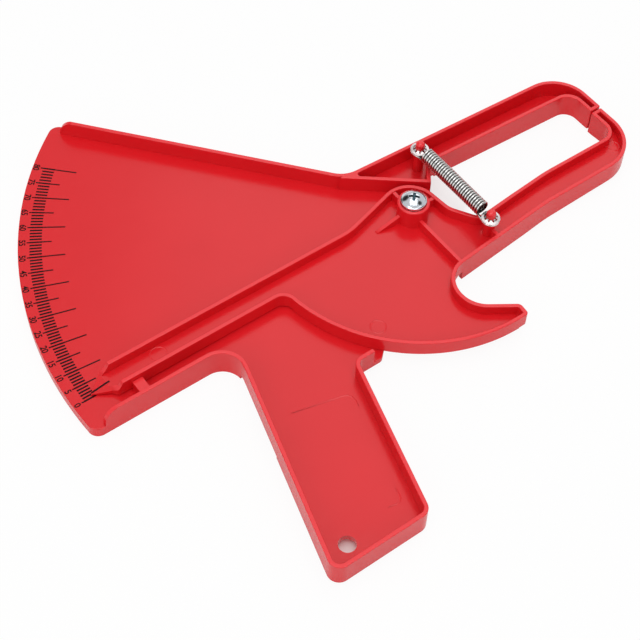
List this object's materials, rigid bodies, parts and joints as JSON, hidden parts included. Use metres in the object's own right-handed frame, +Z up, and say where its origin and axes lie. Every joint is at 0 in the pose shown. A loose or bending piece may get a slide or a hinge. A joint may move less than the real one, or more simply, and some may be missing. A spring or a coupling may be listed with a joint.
{
  "type": "skinfold caliper",
  "caption": "Plastic skinfold caliper with a pistol handle, a spring-closed jaw lever with finger trigger, and a pointer that sweeps a curved scale.",
  "frame": {"origin": "on the pivot axis, in the plane of the underside that rests on a table", "axes": "+X towards the jaws, -X along the pointer at zero, -Y towards the handle, +Z up out of the open trays"},
  "size_m": [0.2737, 0.2526, 0.0214],
  "materials": {
    "red_plastic": "gloss",
    "red_plastic_lever": "gloss",
    "zinc_screw": "polished",
    "spring_steel": "bright",
    "washer_steel": "polished",
    "scale_ink": "matt"
  },
  "bodies": {
    "frame": {"scale_plate": "red_plastic", "handle": "red_plastic", "fixed_jaw": "red_plastic", "pivot_screw": "zinc_screw", "peg_washer_fixed": "washer_steel"},
    "lever": {"pointer_arm": "red_plastic_lever", "trigger": "red_plastic_lever", "moving_jaw": "red_plastic_lever", "peg_washer_moving": "washer_steel"},
    "spring_fixed_end": {"spring_coil": "spring_steel", "spring_hook_fixed": "spring_steel"},
    "spring_moving_end": {"spring_hook_moving": "spring_steel"}
  },
  "joints": [
    {"name": "lever_pivot", "type": "hinge", "parent": "frame", "child": "lever", "pos_m": [0, 0, 0.01], "axis": [0, 0, -1], "range_deg": [0, 44.9], "stiffness_Nm_per_rad": 0.25, "springref_deg": -68.75},
    {"name": "spring_swing", "type": "hinge", "parent": "frame", "child": "spring_fixed_end", "pos_m": [0.0205, 0.0217, 0.0164], "axis": [0, 0, -1], "range_deg": [0, 24.5]},
    {"name": "spring_stretch", "type": "slide", "parent": "spring_fixed_end", "child": "spring_moving_end", "axis": [0.0021, -1, 0], "range_m": [0, 0.013], "deforming": ["spring_coil"]}
  ],
  "couplings": [
    {"joint": "spring_swing", "follows": "lever_pivot", "ratio": 0.536},
    {"joint": "spring_stretch", "follows": "lever_pivot", "m_per_rad": 0.01635}
  ]
}
